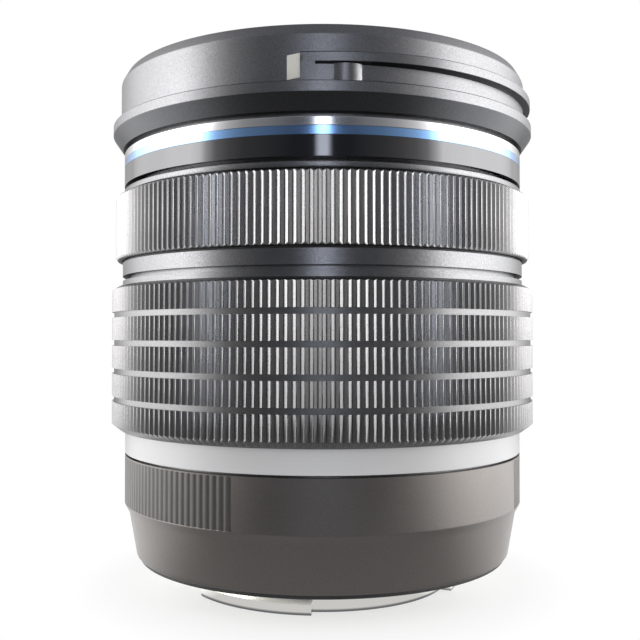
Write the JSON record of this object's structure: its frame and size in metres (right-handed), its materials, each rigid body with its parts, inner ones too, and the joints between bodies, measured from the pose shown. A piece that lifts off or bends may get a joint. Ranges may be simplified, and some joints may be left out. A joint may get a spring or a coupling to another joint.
{
  "type": "camera zoom lens",
  "caption": "Compact camera zoom lens with a bayonet mount, ribbed zoom and focus rings, an extending front group, a bladed iris and a hood bayonet round the filter thread.",
  "frame": {"origin": "centre of the mount flange face, on the optical axis", "axes": "+Z along the optical axis towards the subject; -Y towards the viewer, with the hood index bar"},
  "size_m": [0.0634, 0.0634, 0.0749],
  "materials": {
    "mount_metal": "satin chrome plate",
    "screw_steel": "turned",
    "seal_rubber": "matt",
    "mark_red": "gloss",
    "inner_plastic": "matt moulded",
    "contact_gold": "gold plate",
    "base_black": "fine satin black",
    "board_green": "solder mask",
    "barrel_alloy": "turned",
    "barrel_black": "satin black",
    "slip_plastic": "smooth, carbon filled",
    "sensor_plastic": "smooth",
    "grip_black": "satin black anodised",
    "scale_silver": "satin anodised",
    "follower_brass": "turned",
    "trim_gloss": "gloss black",
    "accent_blue": "blue anodised",
    "rim_bright": "polished",
    "front_black": "satin black",
    "mark_white": "paint",
    "glass_front": "coated",
    "glass_inner": "coated",
    "carriage_plastic": "matt moulded",
    "motor_steel": "plated",
    "coil_copper": "enamelled wire",
    "iris_metal": "matt blackened"
  },
  "bodies": {
    "base": {"bayonet_mount": "mount_metal", "mount_screws": "screw_steel", "mount_seal": "seal_rubber", "mount_dot": "mark_red", "contact_block": "inner_plastic", "contact_pins": "contact_gold", "rear_baffle": "inner_plastic", "rear_cell": "inner_plastic", "rear_element": "glass_inner", "base_shell": "base_black", "main_board": "board_green", "guide_barrel": "barrel_alloy", "mid_barrel": "barrel_black", "focus_slip_ring": "slip_plastic", "focus_sensor": "sensor_plastic", "zoom_encoder": "sensor_plastic", "barrel_seal": "seal_rubber", "focus_retainer": "inner_plastic"},
    "zoom": {"zoom_ring": "barrel_black", "zoom_grip": "grip_black", "zoom_scale_ring": "scale_silver", "zoom_key": "follower_brass", "cam_barrel": "barrel_alloy"},
    "focus_control": {"focus_ring": "barrel_black", "focus_grip": "grip_black"},
    "front": {"front_barrel": "barrel_black", "front_followers": "follower_brass", "trim_ring": "trim_gloss", "accent_ring": "accent_blue", "rim_ring": "rim_bright", "hood_bayonet_ring": "front_black", "hood_index_mark": "mark_white", "front_cell": "inner_plastic", "front_element": "glass_front", "second_element": "glass_front", "name_ring": "inner_plastic"},
    "carriage": {"carriage": "carriage_plastic", "carriage_followers": "follower_brass", "variator_element": "glass_inner", "iris_base": "carriage_plastic", "iris_cover": "carriage_plastic", "iris_motor": "motor_steel", "guide_rods": "screw_steel", "focus_magnets": "motor_steel"},
    "focus_group": {"focus_cell": "carriage_plastic", "focus_element": "glass_inner", "focus_coils": "coil_copper"},
    "iris": {"iris_ring": "iris_metal"},
    "blade_1": {"iris_blade_1": "iris_metal"},
    "blade_2": {"iris_blade_2": "iris_metal"},
    "blade_3": {"iris_blade_3": "iris_metal"},
    "blade_4": {"iris_blade_4": "iris_metal"},
    "blade_5": {"iris_blade_5": "iris_metal"},
    "blade_6": {"iris_blade_6": "iris_metal"},
    "blade_7": {"iris_blade_7": "iris_metal"}
  },
  "joints": [
    {"name": "zoom_turn", "type": "hinge", "parent": "base", "child": "zoom", "pos_m": [0, 0, 0.03], "axis": [0, 0, 1], "range_deg": [0, 70]},
    {"name": "focus_turn", "type": "hinge", "parent": "base", "child": "focus_control", "pos_m": [0, 0, 0.048], "axis": [0, 0, 1], "continuous": true},
    {"name": "front_extend", "type": "slide", "parent": "base", "child": "front", "axis": [0, 0, 1], "range_m": [0, 0.026]},
    {"name": "carriage_travel", "type": "slide", "parent": "base", "child": "carriage", "axis": [0, 0, 1], "range_m": [0, 0.012]},
    {"name": "focus_travel", "type": "slide", "parent": "carriage", "child": "focus_group", "axis": [0, 0, 1], "range_m": [0, 0.0025]},
    {"name": "iris_turn", "type": "hinge", "parent": "carriage", "child": "iris", "pos_m": [0, 0, 0.0305], "axis": [0, 0, 1], "range_deg": [0, 6.12]},
    {"name": "blade_1_swing", "type": "hinge", "parent": "carriage", "child": "blade_1", "pos_m": [0.013, 0, 0.029], "axis": [0, 0, 1], "range_deg": [0, 26]},
    {"name": "blade_2_swing", "type": "hinge", "parent": "carriage", "child": "blade_2", "pos_m": [0.0081, 0.01016, 0.029], "axis": [0, 0, 1], "range_deg": [0, 26]},
    {"name": "blade_3_swing", "type": "hinge", "parent": "carriage", "child": "blade_3", "pos_m": [-0.00289, 0.01267, 0.029], "axis": [0, 0, 1], "range_deg": [0, 26]},
    {"name": "blade_4_swing", "type": "hinge", "parent": "carriage", "child": "blade_4", "pos_m": [-0.01171, 0.00564, 0.029], "axis": [0, 0, 1], "range_deg": [0, 26]},
    {"name": "blade_5_swing", "type": "hinge", "parent": "carriage", "child": "blade_5", "pos_m": [-0.01171, -0.00564, 0.029], "axis": [0, 0, 1], "range_deg": [0, 26]},
    {"name": "blade_6_swing", "type": "hinge", "parent": "carriage", "child": "blade_6", "pos_m": [-0.00289, -0.01267, 0.029], "axis": [0, 0, 1], "range_deg": [0, 26]},
    {"name": "blade_7_swing", "type": "hinge", "parent": "carriage", "child": "blade_7", "pos_m": [0.0081, -0.01016, 0.029], "axis": [0, 0, 1], "range_deg": [0, 26]}
  ],
  "couplings": [
    {"joint": "front_extend", "follows": "zoom_turn", "m_per_rad": 0.021279},
    {"joint": "carriage_travel", "follows": "zoom_turn", "m_per_rad": 0.0098212},
    {"joint": "blade_1_swing", "follows": "iris_turn", "ratio": 4.2496},
    {"joint": "blade_2_swing", "follows": "iris_turn", "ratio": 4.2496},
    {"joint": "blade_3_swing", "follows": "iris_turn", "ratio": 4.2496},
    {"joint": "blade_4_swing", "follows": "iris_turn", "ratio": 4.2496},
    {"joint": "blade_5_swing", "follows": "iris_turn", "ratio": 4.2496},
    {"joint": "blade_6_swing", "follows": "iris_turn", "ratio": 4.2496},
    {"joint": "blade_7_swing", "follows": "iris_turn", "ratio": 4.2496}
  ]
}
